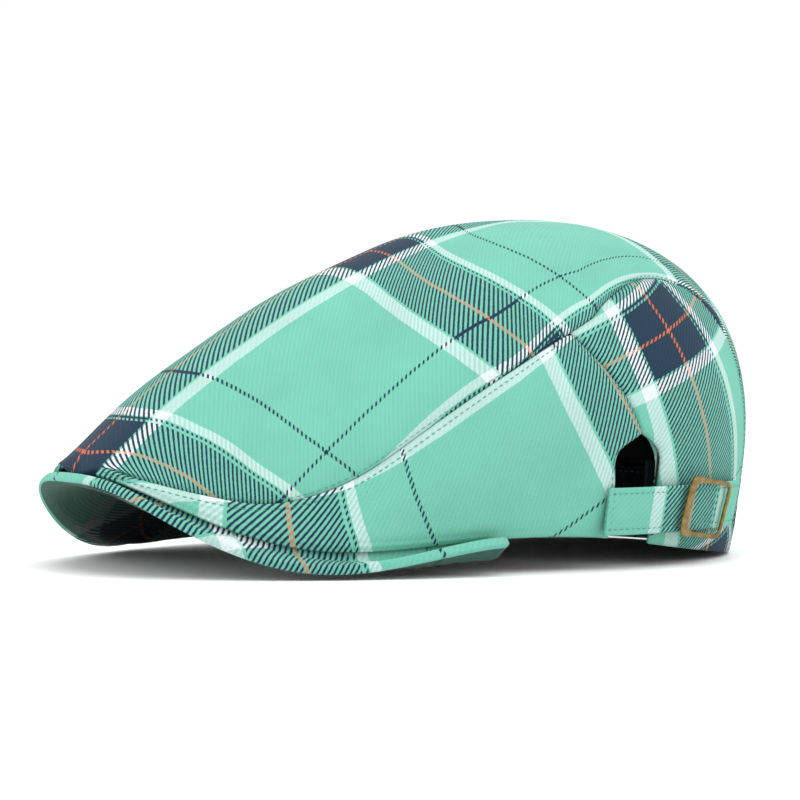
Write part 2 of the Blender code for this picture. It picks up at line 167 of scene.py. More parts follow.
def superellipse(wave, power):
    """Sine or cosine of a circle raised to a power with its sign kept, which squares the circle."""
    return np.sign(wave) * np.abs(wave)**power


def run_along(points, axis):
    """Distance walked along a line, or along a grid's lines in one direction."""
    step = np.linalg.norm(np.diff(points, axis=axis), axis=-1)
    start = np.zeros_like(np.take(step, [0], axis))
    return np.concatenate([start, np.cumsum(step, axis)], axis)


def rim(theta):
    """Lower edge of the crown at plan angle theta, from +X towards +Y."""
    c = np.cos(theta)
    s = np.sin(theta)
    reach = np.where(s > 0, HEM_BACK, HEM_FRONT)
    power = np.where(s > 0, BACK_SQUARE, FRONT_SQUARE)
    k = (np.abs(c)**power + np.abs(s)**power)**(-1 / power)
    turn = np.degrees(np.abs((theta + np.pi / 2 + np.pi) % (2 * np.pi) - np.pi))
    z = spline(HEM_STATIONS, HEM_HEIGHTS, turn)
    return HEM_HALF_WIDTH * k * c, HEM_CENTRE_Y + reach * k * s, z


def dome(rho, theta):
    """Outer surface of the crown: rho 0 at the top, 1 at the lower edge."""
    x, y, z = rim(theta)
    s = np.sin(theta)
    side = np.cos(theta)**2
    sweep = np.where(s > 0, BACK_SWEEP, FRONT_SWEEP) * (1 - side) + SIDE_SWEEP * side
    sweep = np.radians(sweep)
    out = np.sin(rho * sweep) / np.sin(sweep)
    up = (np.cos(rho * sweep) - np.cos(sweep)) / (1 - np.cos(sweep))
    up = np.clip(up, 0, 1)
    front = np.clip(-s, 0, 1)**2
    back = np.clip(s, 0, 1)
    up = up * (1 - front) + front * (1 - (1 - up)**FRONT_FALL)
    up = up**(1 + (BACK_FULLNESS - 1) * back)
    return np.stack([x * out, CROWN_POLE_Y + (y - CROWN_POLE_Y) * out, z + (CROWN_TOP - z) * up], -1)


def crown(x, y, lift):
    """Crown surface over the disc point (x, y), moved out by lift along its normal."""
    def at(u, v):
        return dome(np.hypot(u, v), np.arctan2(v, u))
    e = 1e-4
    normal = np.cross(at(x + e, y) - at(x - e, y), at(x, y + e) - at(x, y - e))
    return at(x, y) + direction(normal) * lift


def curve(points, count):
    """count points evenly along a smooth curve through the given ones."""
    p = np.asarray(points, float)
    d = run_along(p, 0)
    fine = np.linspace(0, d[-1], 600)
    q = np.stack([natural(d, p[:, k], fine) for k in range(2)], -1)
    run = run_along(q, 0)
    at = np.linspace(0, run[-1], count)
    return np.stack([np.interp(at, run, q[:, k]) for k in range(2)], -1)


def natural(knots, values, at):
    """Smooth curve through the knots by Catmull-Rom slopes."""
    slope = np.gradient(values, knots)
    i = np.clip(np.searchsorted(knots, at, side="right") - 1, 0, len(knots) - 2)
    h = knots[i + 1] - knots[i]
    t = (at - knots[i]) / h
    return ((2 * t**3 - 3 * t**2 + 1) * values[i] + (t**3 - 2 * t**2 + t) * h * slope[i]
            + (3 * t**2 - 2 * t**3) * values[i + 1] + (t**3 - t**2) * h * slope[i + 1])


def shift(points, by):
    """Run of disc points moved sideways by that much, to the right of its direction."""
    along = direction(np.gradient(points, axis=0))
    return points + np.stack([along[:, 1], -along[:, 0]], -1) * by


def top_seam():
    """The seam's front part down to the quarter seam, and its rear part to the hem."""
    whole = curve(TOP_SEAM, 900)
    cut = np.linalg.norm(whole - TOP_SEAM[SIDE_SPLIT - 1], axis=1).argmin()
    return curve(whole[:cut + 1:6], SIDE_STEPS), curve(whole[cut::6], REAR_STEPS)


def spoke(degrees, rhos):
    """Disc points on one ray from the crown's top, at the given shares of its length."""
    a = np.radians(degrees)
    return np.outer(rhos, [np.cos(a), np.sin(a)])


def below(upper, early, late):
    """Lower edge under the upper one, its two ends turned by early and late degrees."""
    run = np.linspace(0, 1, len(upper))
    a = np.arctan2(upper[:, 1], upper[:, 0]) + np.radians(early) * (1 - run)**2 + np.radians(late) * run**4
    return np.stack([np.cos(a), np.sin(a)], -1)


def angle_of(p):
    """Plan angle of a disc point, in degrees."""
    return np.degrees(np.arctan2(p[1], p[0]))


def top_grid(trim):
    """Disc points of the top panel, row by row from the front fold to the rear hem.

    Each row runs straight across between the two seams; the first and last rows bow out to
    the crown's circle.
    """
    front, rear = top_seam()
    edge = shift(np.concatenate([front, rear[1:]]), -trim)
    edge[-1] = direction(edge[-1])
    columns = np.linspace(-1, 1, TOP_COLUMNS)
    x = edge[:, :1] * columns
    y = np.repeat(edge[:, 1:], TOP_COLUMNS, axis=1)
    run = np.linspace(-1, 1, len(edge))[:, None]
    bow = np.sqrt(1 - x**2) - np.sqrt(1 - edge[:, :1]**2)
    return x, y - np.clip(-run, 0, 1)**5 * bow * FOLD_BOW + np.clip(run, 0, 1)**5 * bow


def patch(upper, lower, first, last):
    """Grid blended between four edges, each corner's share taken off once (a Coons patch)."""
    u = np.linspace(0, 1, len(upper))[:, None, None]
    v = np.linspace(0, 1, len(first))[None, :, None]
    grid = (upper[:, None] * (1 - v) + lower[:, None] * v + first[None] * (1 - u) + last[None] * u
            - upper[0] * (1 - u) * (1 - v) - lower[0] * (1 - u) * v
            - upper[-1] * u * (1 - v) - lower[-1] * u * v)
    return grid[..., 0], grid[..., 1]


def split_edge(trim, keyhole, top):
    """Quarter seam from the top seam down, then one side of the keyhole, to the hem."""
    quarter = curve(QUARTER_SEAM, DOWN_STEPS)
    tail = spoke(keyhole, (top, 0.88, 1.0))
    tail = curve(np.concatenate([quarter[-1:], tail]), DOWN_STEPS)
    return shift(np.concatenate([quarter, tail[1:]]), trim)


def side_grid(trim, split):
    """Disc points of a side panel: columns run from the top seam down to the hem."""
    upper = shift(top_seam()[0], trim)
    rear = split_edge(trim, split, KEYHOLE_TOP + 0.035)
    upper[-1] += direction(upper[-2] - upper[-1]) * trim
    rear[0] = upper[-1]
    lower = below(upper, 0.0, angle_of(rear[-1]) - angle_of(upper[-1]))
    u = np.linspace(0, 1, len(upper))[:, None, None]
    v = np.linspace(0, 1, len(rear))[None, :, None]
    bend = rear[None] - rear[0] * (1 - v) - rear[-1] * v
    grid = upper[:, None] * (1 - v) + lower[:, None] * v + bend * u**5
    return grid[..., 0], grid[..., 1]


def back_grid(trim, split):
    """Disc points of a rear quarter panel, from its seam to the top panel."""
    upper = shift(top_seam()[1], trim)
    front = split_edge(-trim, split, KEYHOLE_TOP + 0.045)
    upper[0] += direction(upper[1] - upper[0]) * trim
    front[0] = upper[0]
    lower = below(upper, angle_of(front[-1]) - angle_of(upper[0]), 0.0)
    rear = np.linspace(upper[-1], lower[-1], len(front))
    return patch(upper, lower, front, rear)


# ---- head opening, band, brim, strap ---------------------------------------
def oval(phi, out):
    """Head opening at plan angle phi, moved outwards by out."""
    c = np.cos(phi)
    s = np.sin(phi)
    x = (OPENING_HALF_WIDTH + out) * c
    return x, HEM_CENTRE_Y + (np.where(s > 0, OPENING_BACK, OPENING_FRONT) + out) * s


def band_foot(phi):
    """Height of the band's foot round the head opening, level on both sides."""
    turn = np.degrees(np.abs((phi + np.pi / 2 + np.pi) % (2 * np.pi) - np.pi))
    return spline(BAND_STATIONS, BAND_HEIGHTS, turn)


def band_grid(first, last, count, rises, out):
    """Upright strip along the head opening, leaning out as it rises above its foot."""
    phi = np.radians(np.linspace(first, last, count))[:, None]
    rise = np.asarray(rises)[None, :]
    x, y = oval(phi, out + BAND_LEAN * rise / BAND_HEIGHT)
    z = band_foot(phi) + rise
    return np.stack(np.broadcast_arrays(x, y, z), -1)


def brim_surface(near_rows, far_rows, columns):
    """Upper face of the brim: straight from its outer edge to the crown seam, then to the opening."""
    t = np.linspace(-1, 1, columns)
    s = np.abs(t)
    side = np.sign(t)
    a = s * np.pi / 2
    k = (np.sin(a)**BRIM_SQUARE + np.cos(a)**BRIM_SQUARE)**(-1 / BRIM_SQUARE)
    edge = np.stack([side * BRIM_HALF_WIDTH * k * np.sin(a),
                     BRIM_REAR_Y - (BRIM_REAR_Y - BRIM_FRONT_Y) * k * np.cos(a),
                     spline(BRIM_STATIONS, BRIM_HEIGHTS, s)], -1)
    x, y, z = rim(np.radians(-90 + s * BRIM_SPREAD))
    seam = np.stack([side * (x - 0.0006), y + 0.0006, z - BRIM_DROP], -1)
    phi = np.radians(-90 + s * OPENING_SPREAD)
    x, y = oval(phi, BRIM_INNER_CLEAR)
    inner = np.stack([side * x, y, band_foot(phi) + 0.0045], -1)
    q = np.asarray(near_rows)[:, None, None]
    near = edge + (seam - edge) * q
    q = np.linspace(0, 1, far_rows + 1)[1:, None, None]
    return np.concatenate([near, seam + (inner - seam) * q])


def up_from(surface):
    """Unit normals of a grid, turned to the side where its middle looks up."""
    normal = direction(np.cross(np.gradient(surface, axis=1), np.gradient(surface, axis=0)))
    return normal * np.sign(normal[len(surface) // 2, surface.shape[1] // 2, 2])


def wall_point(degrees, height):
    """Plan position of the crown at a plan angle and a height near the hem."""
    rho = np.linspace(0.72, 1.0, 400)
    p = crown(rho * np.cos(np.radians(degrees)), rho * np.sin(np.radians(degrees)), 0.0)
    i = np.abs(p[:, 2] - height).argmin()
    return p[i, :2]


def strap_circle():
    """Circle in plan through three points of the crown at the strap's middle height."""
    a, b, c = (wall_point(d, STRAP_TOP_Z - STRAP_WIDTH / 2) for d in STRAP_TOUCHES)
    m = 2 * np.array([b - a, c - a])
    centre = np.linalg.solve(m, [b @ b - a @ a, c @ c - a @ a])
    return centre, np.linalg.norm(a - centre)


# ---- meshes ----------------------------------------------------------------
def linear(code):
    """sRGB hex colour as linear light."""
    c = np.array([int(code[i:i + 2], 16) for i in (0, 2, 4)]) / 255
    return np.where(c <= 0.04045, c / 12.92, ((c + 0.055) / 1.055)**2.4)


def ground(points):
    """Points near the table kept on it, so that nothing sinks in."""
    points[..., 2] = np.maximum(points[..., 2], 0.0)
    return points


def make(name, verts, faces, look, body="cap", maps=()):
    """Mesh object of whole vertex and face arrays; maps are (name, per-vertex UV) pairs."""
    mesh = bpy.data.meshes.new(name)
    mesh.vertices.add(len(verts))
    mesh.vertices.foreach_set("co", np.asarray(verts, np.float32).ravel())
    mesh.loops.add(faces.size)
    mesh.loops.foreach_set("vertex_index", faces.ravel().astype(np.int32))
    mesh.polygons.add(len(faces))
    mesh.polygons.foreach_set("loop_start", np.arange(0, faces.size, faces.shape[1], dtype=np.int32))
    mesh.update(calc_edges=True)
    for label, uv in maps:
        layer = mesh.uv_layers.new(name=label)
        layer.data.foreach_set("uv", np.asarray(uv, np.float32)[faces.ravel()].ravel())
    mesh.polygons.foreach_set("use_smooth", np.ones(len(faces), bool))
    mesh.materials.append(look)
    made = bpy.data.objects.new(name, mesh)
    bpy.context.scene.collection.objects.link(made)
    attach(made, body)
    return made


def signed_volume(verts, faces):
    """Sum of the faces' wedges to the origin: below nought when they point inwards."""
    q = verts[faces]
    return (q[:, 0] * np.cross(q[:, 1], q[:, 2]) + q[:, 0] * np.cross(q[:, 2], q[:, 3])).sum()


def tube_faces(idx):
    """Faces between the rows of vertex numbers, whose columns close into rings."""
    turn = np.roll(idx, -1, axis=-1)
    return np.stack([idx[..., :-1, :], idx[..., 1:, :], turn[..., 1:, :], turn[..., :-1, :]],
                    -1).reshape(-1, 4)


def plaid_maps(across, along):
    """UV maps from millimetres of cloth: the plaid in repeats, its weave in centimetres."""
    lay = np.stack([across, along], -1)
    return [("sett", lay / SETT), ("weave", lay / 10)]


def weave_map(p):
    """UV map of plain cloth: distances walked along the grid both ways, in centimetres."""
    return [("weave", np.stack([run_along(p, 0), run_along(p, 1)], -1) * 100)]


def cloth_sheet(name, outer, inner, look, maps):
    """Closed sheet between two grids of equal size, walled along their four edges."""
    n, m = outer.shape[:2]
    idx = np.arange(n * m).reshape(n, m)
    top = np.stack([idx[:-1, :-1], idx[1:, :-1], idx[1:, 1:], idx[:-1, 1:]], -1).reshape(-1, 4)
    under = top[:, ::-1] + n * m
    loop = np.concatenate([idx[:-1, 0], idx[-1, :-1], idx[:0:-1, -1], idx[0, :0:-1]])
    ahead = np.roll(loop, -1)
    wall = np.stack([ahead, loop, loop + n * m, ahead + n * m], -1)
    faces = np.concatenate([top, under, wall])
    verts = np.concatenate([outer.reshape(-1, 3), inner.reshape(-1, 3)])
    if signed_volume(verts, faces) < 0:
        faces = faces[:, ::-1]
    twice = [(label, np.concatenate([uv.reshape(-1, 2)] * 2)) for label, uv in maps]
    return make(name, verts, faces, look, maps=twice)


def declare(names):
    """Hides the CAD pieces that the cloth stands for."""
    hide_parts(*names)


def edge_distance(points):
    """Distance along the grid's lines to the nearest of its four edges."""
    a = run_along(points, 0)
    b = run_along(points, 1)
    return np.minimum(np.minimum(a, a[-1:] - a), np.minimum(b, b[:, -1:] - b))


def threads(name, path, normal, radius=0.00017):
    """Row of lockstitches: short bent rods laid end to end along a path on the cloth."""
    pitch, length, proud = 0.0026, 0.0019, 0.0001
    run = run_along(path, 0)
    count = int(run[-1] / pitch)
    starts = (np.arange(count) + 0.15) * (run[-1] / count)
    t = np.linspace(0, 1, 5)
    at = starts[:, None] + t * length

    def pick(values):
        return np.stack([np.interp(at, run, values[:, k]) for k in range(3)], -1)
    spine = pick(path)
    out = direction(pick(normal))
    wide = np.cross(direction(np.gradient(spine, axis=1)), out)
    hump = np.sin(np.pi * t)[None, :, None]
    spine = spine + out * (proud - radius * 1.5 + hump * radius * 1.6)
    size = (radius * (0.55 + 0.45 * np.sin(np.pi * t)))[None, :, None, None]
    a = np.linspace(0, 2 * np.pi, 7)[:-1]
    ring = wide[:, :, None] * np.cos(a)[:, None] + out[:, :, None] * np.sin(a)[:, None]
    verts = spine[:, :, None] + ring * size
    idx = np.arange(verts[..., 0].size).reshape(verts.shape[:3])
    caps = np.concatenate([idx[:, e][:, f] for e, f in ((0, [0, 1, 2, 3]), (0, [0, 3, 4, 5]),
                                                        (-1, [3, 2, 1, 0]), (-1, [5, 4, 3, 0]))])
    faces = np.concatenate([tube_faces(idx), caps])
    verts = verts.reshape(-1, 3)
    if signed_volume(verts, faces) < 0:
        faces = faces[:, ::-1]
    make(name, verts, faces, teal_thread)


# ---- materials -------------------------------------------------------------
def new_material(name):
    """Empty node material: itself, its tree and its shader."""
    made = bpy.data.materials.new(name)
    made.use_nodes = True
    tree = made.node_tree
    return made, tree, tree.nodes["Principled BSDF"]


def fill(tree, made, inputs):
    """Links or sets each (input, value) pair of a node; a node stands for its first output."""
    for key, value in inputs:
        if isinstance(value, bpy.types.Node):
            value = value.outputs[0]
        if isinstance(value, bpy.types.NodeSocket):
            tree.links.new(value, made.inputs[key])
        else:
            made.inputs[key].default_value = value


def node(tree, kind, inputs=(), **settings):
    """Adds a node, sets its properties and fills its inputs."""
    made = tree.nodes.new("ShaderNode" + kind)
    for key, value in settings.items():
        setattr(made, key, value)
    fill(tree, made, inputs)
    return made


def tone(code):
    """Hex colour as the four numbers of a colour input."""
    return (*linear(code), 1.0)


def yarn_stripes(add, along, stripes):
    """Colour of the yarn at a place across the sett: steps of (start in mm, colour)."""
    ramp = add("ValToRGB", [(0, along)])
    band = ramp.color_ramp
    band.interpolation = "CONSTANT"
    band.elements[0].position = 0.0
    band.elements[0].color = tone(stripes[0][1])
    band.elements.remove(band.elements[1])
    for start, code in stripes[1:]:
        band.elements.new(start / SETT).color = tone(code)
    return ramp


def plaid_twill(name, mint, navy, white, orange):
    """Brushed cotton twill, yarn-dyed and woven two over two under.

    Warp and weft carry the same stripes; the diagonal rib shows the warp on one side and the
    weft on the other, so two colours mix as fine oblique dashes. The brushed face gives short
    fuzz: soft sheen, high roughness and a slight mottling of each yarn's dye.
    """
    made, tree, shader = new_material(name)
    add = partial(node, tree)
    sett = add("UVMap", uv_map="sett")
    weave = add("UVMap", uv_map="weave")
    # stripes waver by a fraction of a millimetre, as yarns do
    wobble = add("TexNoise", [("Vector", weave), ("Scale", 1.1), ("Detail", 3.0)])
    bent = add("VectorMath", [(0, wobble.outputs["Color"]), (1, (0.5, 0.5, 0.5))], operation="SUBTRACT")
    bent = add("VectorMath", [(0, bent), ("Scale", 0.007)], operation="SCALE")
    place = add("VectorMath", [(0, sett), (1, bent)])
    split = add("SeparateXYZ", [(0, place)])
    across = add("SeparateXYZ", [(0, weave)])
    stripes = [(0.0, orange), (0.75, navy), (16.0, mint), (17.0, navy), (17.8, mint), (18.2, white),
               (21.8, mint), (40.5, navy), (42.0, mint), (105.0, white), (111.0, mint),
               (112.0, navy), (127.25, orange)]
    yarns = []
    light = []
    for axis in range(2):
        along = add("Math", [(0, split.outputs[axis])], operation="FRACT")
        yarns.append(yarn_stripes(add, along, stripes))
    for yarn in yarns:
        grey = add("RGBToBW", [(0, yarn)])
        light.append(add("Math", [(0, grey), (1, 0.3)], operation="MINIMUM"))
    # the twill's rib runs aslant over warp and weft, a little unevenly
    rib = add("Math", [(0, across.outputs[1]), (1, across)], operation="SUBTRACT")
    uneven = add("TexNoise", [("Vector", weave), ("Scale", 9.0), ("Detail", 2.0)])
    rib = add("Math", [(0, uneven), (1, 0.055), (2, rib)], operation="MULTIPLY_ADD")
    rib = add("Math", [(0, rib), (1, 2 * np.pi * 10 / TWILL)], operation="MULTIPLY")
    wave = add("Math", [(0, rib)], operation="SINE")
    # the paler yarn stands out a little wider; two pale yarns blend into one tint
    lead = add("Math", [(0, light[1]), (1, light[0])], operation="SUBTRACT")
    lead = add("Math", [(0, lead), (1, 0.25), (2, wave)], operation="MULTIPLY_ADD")
    crisp = add("MapRange", [("Value", lead), ("From Min", -0.55), ("From Max", 0.55)],
                interpolation_type="SMOOTHSTEP")
    both = add("Math", [(0, light[0]), (1, light[1])], operation="MINIMUM")
    both = add("MapRange", [("Value", both), ("From Min", 0.1), ("From Max", 0.3),
                            ("To Min", 0.0), ("To Max", 0.8)])
    share = add("Mix", [("Factor", both), (2, crisp), (3, 0.5)])
    woven = add("Mix", [("Factor", share), (6, yarns[0]), (7, yarns[1])], data_type="RGBA")
    # yarns: fine slubs along each direction, and a slow mottling of the dye
    fine = add("Mapping", [("Vector", weave), ("Scale", (30.0, 30.0, 1.0))])
    slub = add("TexNoise", [("Vector", fine), ("Scale", 1.0), ("Detail", 3.0)])
    cloud = add("TexNoise", [("Vector", weave), ("Scale", 0.35), ("Detail", 4.0)])
    shade = add("MapRange", [("Value", slub), ("From Min", 0.25), ("From Max", 0.75),
                             ("To Min", 0.76), ("To Max", 1.20)])
    cloudy = add("MapRange", [("Value", cloud), ("From Min", 0.3), ("From Max", 0.7),
                              ("To Min", 0.95), ("To Max", 1.05)])
    # painted shade: the twill rib's hollows are painted up to 5% darker and its crests 3% lighter
    rib_painted_shade = add("MapRange", [("Value", wave), ("From Min", -1.0), ("From Max", 1.0),
                              ("To Min", 0.95), ("To Max", 1.03)])
    total = add("Math", [(0, shade), (1, cloudy)], operation="MULTIPLY")
    total = add("Math", [(0, total), (1, rib_painted_shade)], operation="MULTIPLY")
    lit = add("VectorMath", [(0, woven.outputs[2]), ("Scale", total)], operation="SCALE")
    high = add("Math", [(0, wave), (1, 0.5), (2, slub)], operation="MULTIPLY_ADD")
    bump = add("Bump", [("Height", high), ("Strength", 0.35), ("Distance", 0.00022)])
    fill(tree, shader, [("Base Color", lit), ("Normal", bump),
                        ("Roughness", 0.88), ("Specular IOR Level", 0.22),
                        ("Sheen Weight", 0.06), ("Sheen Roughness", 0.5)])
    return made


def plain_cloth(name, code, rib, scale):
    """Plain-woven or ribbed dark cotton, piece-dyed: a fine regular grain and dull face."""
    made, tree, shader = new_material(name)
    add = partial(node, tree)
    weave = add("UVMap", uv_map="weave")
    across = add("SeparateXYZ", [(0, weave)])
    line = add("Math", [(0, across.outputs[rib]), (1, 2 * np.pi * scale)], operation="MULTIPLY")
    line = add("Math", [(0, line)], operation="SINE")
    grain = add("TexNoise", [("Vector", weave), ("Scale", 25.0), ("Detail", 3.0)])
    height = add("Math", [(0, line), (1, 0.4), (2, grain)],
                 operation="MULTIPLY_ADD")
    # colour follows the height: painted shade in the ribs' hollows and painted light on their crests,
    # mixed with the grain's random tone
    shade = add("MapRange", [("Value", height), ("From Min", 0.0), ("From Max", 1.0),
                             ("To Min", 0.75), ("To Max", 1.2)])
    lit = add("VectorMath", [(0, tuple(linear(code))), ("Scale", shade)], operation="SCALE")
    bump = add("Bump", [("Height", height), ("Strength", 0.5), ("Distance", 0.0002)])
    fill(tree, shader, [("Base Color", lit), ("Normal", bump),
                        ("Roughness", 0.85), ("Specular IOR Level", 0.2), ("Sheen Weight", 0.1)])
    return made


def antique_brass(name):
    """Die-cast zinc plated with brass, darkened and tumbled: olive-brown in the hollows, rubbed
    brighter on the raised faces, satin with fine pits."""
    made, tree, shader = new_material(name)
    add = partial(node, tree)
    spot = add("TexCoord").outputs["Object"]
    stain = add("TexNoise", [("Vector", spot), ("Scale", 420.0), ("Detail", 5.0)])
    pits = add("TexNoise", [("Vector", spot), ("Scale", 2600.0), ("Detail", 3.0)])
    rubbed = add("MapRange", [("Value", stain), ("From Min", 0.35), ("From Max", 0.68)])
    colour = add("Mix", [("Factor", rubbed), (6, tone("6E5B30")), (7, tone("8F7741"))],
                 data_type="RGBA")
    dull = add("MapRange", [("Value", stain), ("From Min", 0.3), ("From Max", 0.7),
                            ("To Min", 0.52), ("To Max", 0.34)])
    bump = add("Bump", [("Height", pits), ("Strength", 0.35), ("Distance", 0.00012)])
    fill(tree, shader, [("Base Color", colour.outputs[2]), ("Roughness", dull),
                        ("Normal", bump), ("Metallic", 0.9)])
    return made


def thread_cotton(name, code):
    """Mercerised sewing thread: a smooth twisted cord with a low lustre."""
    made, tree, shader = new_material(name)
    add = partial(node, tree)
    spot = add("TexCoord").outputs["Object"]
    twist = add("TexNoise", [("Vector", spot), ("Scale", 2400.0)])
    shade = add("MapRange", [("Value", twist), ("To Min", 0.7), ("To Max", 1.2)])
    lit = add("VectorMath", [(0, tuple(linear(code))), ("Scale", shade)], operation="SCALE")
    fill(tree, shader, [("Base Color", lit), ("Roughness", 0.6), ("Sheen Weight", 0.1)])
    return made


def board_plastic(name):
    """Injection-moulded sheet of the peak's board: plain, smooth and semi-matt."""
    made, tree, shader = new_material(name)
    fill(tree, shader, [("Base Color", tone("B9B7AE")), ("Roughness", 0.5)])
    return made


crown_twill = plaid_twill("crown_plaid_twill", "67AE9A", "0F2C40", "C9D5D5", "B8603A")
# painted shade: a copy of the plaid with every colour about a third as bright, for the peak's underside
# past its rim
painted_shade_twill = plaid_twill("under_peak_painted_shade_twill", "2C5147", "081820", "4C5555", "5A3520")
lining_cotton = plain_cloth("lining_cotton", "2A312F", 0, 14.0)
band_rep = plain_cloth("band_ribbed_tape", "1F2A2E", 0, 6.0)
label_tape = plain_cloth("label_satin_tape", "33383A", 1, 20.0)
brass = antique_brass("buckle_antique_brass")
teal_thread = thread_cotton("teal_topstitch_thread", "3E7D6E")
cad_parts["brim_board"].data.materials.clear()
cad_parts["brim_board"].data.materials.append(board_plastic("peak_board_plastic"))


# ---- crown panels ----------------------------------------------------------
def wall_run(x, y):
    """Plan distance along the crown's wall from the centre front, in mm, for disc points."""
    a = np.linspace(-np.pi / 2, np.pi / 2, 721)
    ring = crown(0.93 * np.cos(a), 0.93 * np.sin(a), 0.0)[:, :2]
    run = run_along(ring, 0)
    return np.interp(np.arctan2(y, np.abs(x)), a, run) * 1000


def top_lay(p, x, _):
    """Plaid on the top panel: the stripes follow the centreline and fan out a little sideways."""
    v = run_along(p, 0)[:, TOP_COLUMNS // 2][:, None] * 1000 * np.ones_like(x)
    u = run_along(p, 1) * 1000
    u = u - u[:, TOP_COLUMNS // 2][:, None]
    w = np.minimum(v / 100, 2.4)
    behind = np.clip((v - 230) / 90, 0, 1)
    bend = (0.693 - 0.043 * w) * (1 - 0.85 * behind**2 * (3 - 2 * behind))
    along = (-6.34 + 94.74 * w - 13.12 * w**2 + 6.46 * w**3 + 105 * (v / 100 - w)
             - bend * (np.sqrt(u**2 + 225) - 15))
    late = np.clip((v - 190) / 80, 0, 1)
    across = 125.5 - u * (1 + 0.8 * late**2 * (3 - 2 * late))
    return across, along


def side_lay(p, x, y):
    """Plaid on a side panel: cut on a slant that turns further from the front backwards."""
    q = wall_run(x, y) / 100
    z = p[..., 2] * 10
    level = 0.90 + 0.08 * np.log1p(np.exp((q - 0.90) / 0.08))
    along = -75.28 + 95.08 * q + 23.78 * z - 5.19 * q**2 + 13.26 * q * z
    across = 132.1 - 59.11 * level + 96.86 * z
    return across, along


def back_lay(p, x, y):
    """Plaid on a rear quarter panel: slanted 18 degrees."""
    q = wall_run(x, y)
    z = p[..., 2] * 1000
    c, s = np.cos(np.radians(18)), np.sin(np.radians(18))
    return 1.3 * (z * c - q * s - 9.1), 0.8 * (q * c + z * s - 250.9)


def relief(p, kind):
    """How far the cloth stands in or out: rolled in at its seams, quilted by the topstitching."""
    d = edge_distance(p) * 1000
    roll = -1.0 * np.exp(-(d / 1.3)**2)
    ditch = -0.22 * np.exp(-((d - 3.0) / 0.7)**2)
    puff = 0.25 * np.exp(-((d - 6.0) / 3.0)**2)
    return (roll + ditch * (kind == "side") + puff) / 1000


def ripples(p):
    """Slow unevenness of a soft crown: a few long shallow waves that die out at the seams."""
    x, y, z = p[..., 0] * 1000, p[..., 1] * 1000, p[..., 2] * 1000
    calm = 1 - np.exp(-(edge_distance(p) * 1000 / 14)**2)
    wave = (np.sin(x / 17 + y / 41 + 0.8) * np.sin(y / 29 - x / 37 + 1.9)
            + 0.6 * np.sin(y / 13 + z / 19 + 0.4) * np.sin(x / 23 + 2.2))
    return 0.45 * wave * calm / 1000


def front_creases(p):
    """Three soft creases on each side, running up and back from where the peak is tacked on.

    A crease is a straight trough with a lower ridge beside it, both bell-shaped across and fading
    out towards the ends: place, angle, length, depth and width in mm and degrees.
    """
    x, y = np.abs(p[..., 0]) * 1000, p[..., 1] * 1000
    total = np.zeros_like(x)
    for x0, y0, turn, length, deep, wide in ((56, -104, 66, 46, 1.5, 4.5), (44, -118, 78, 40, 1.1, 5.0),
                                             (30, -126, 96, 34, 0.8, 5.5)):
        c, s = np.cos(np.radians(turn)), np.sin(np.radians(turn))
        a = (x - x0) * c + (y - y0) * s
        b = -(x - x0) * s + (y - y0) * c
        fade = np.exp(-((a - length / 2) / (length / 2.2))**2)
        fold = 0.5 * np.exp(-((b - wide * 1.9) / wide)**2) - np.exp(-(b / wide)**2)
        total += deep * fade * fold
    return total / 1000


def crown_panel(name, node_name, grid, mirrored, lay, kind):
    """One panel of outer cloth: crown surface lifted by its relief, CLOTH thick."""
    x, y = grid
    if mirrored:
        x = -x
    flat_p = crown(x, y, 0.0)
    lift = relief(flat_p, kind) + ripples(flat_p)
    if kind == "top":
        lift = lift + front_creases(flat_p)
    outer = ground(crown(x, y, lift[..., None]))
    inner = ground(crown(x, y, lift[..., None] - CLOTH * CLOTH_PRESSED))
    if kind == "top":
        fold = 0.0027 * np.exp(-(run_along(flat_p, 0) * 1000 / 5.0)**2)
        outer[..., 2] -= fold
        inner[..., 2] -= fold
    across, along = lay(flat_p, x, y)
    made = cloth_sheet(name, outer, inner, crown_twill, plaid_maps(across, along))
    declare([node_name])
    return outer


def lining_panel(name, node_name, grid, mirrored):
    """One panel of lining under the outer cloth, with a little slack between its seams."""
    x, y = np.array(grid) * LINING_SCALE
    if mirrored:
        x = -x
    p = crown(x, y, -CLOTH - LINING_GAP)
    slack = 0.5 * ripples(p)
    lift = -CLOTH - LINING_GAP - 0.0006 + slack
    outer = ground(crown(x, y, lift[..., None]))
    inner = ground(crown(x, y, lift[..., None] - 0.0005))
    made = cloth_sheet(name, outer, inner, lining_cotton, weave_map(p))
    declare([node_name])


def outward(p):
    """Unit normals of a grid on the crown, pointing away from the head."""
    normal = np.cross(np.gradient(p, axis=0), np.gradient(p, axis=1))
    normal /= np.linalg.norm(normal, axis=-1, keepdims=True) + 1e-12
    middle = p[len(p) // 2, p.shape[1] // 2] - np.array([0, HEM_CENTRE_Y, 0.03])
    return normal * np.sign((normal[len(p) // 2, p.shape[1] // 2] * middle).sum())


def inset_line(p, which, distance):
    """Points and normals a fixed distance inside one edge of a grid, along its lines."""
    rows = np.moveaxis(p, 0, 1) if which in ("first_column", "last_column") else p
    normals = outward(p)
    normals = np.moveaxis(normals, 0, 1) if which in ("first_column", "last_column") else normals
    if which in ("last_row", "last_column"):
        rows, normals = rows[::-1], normals[::-1]
    run = run_along(rows, 0)
    n = rows.shape[1]
    cut = np.array([np.interp(distance, run[:, j], np.arange(len(run))) for j in range(n)])
    low = np.minimum(cut.astype(int), len(run) - 2)
    share = (cut - low)[:, None]
    j = np.arange(n)
    return (rows[low, j] * (1 - share) + rows[low + 1, j] * share,
            normals[low, j] * (1 - share) + normals[low + 1, j] * share)


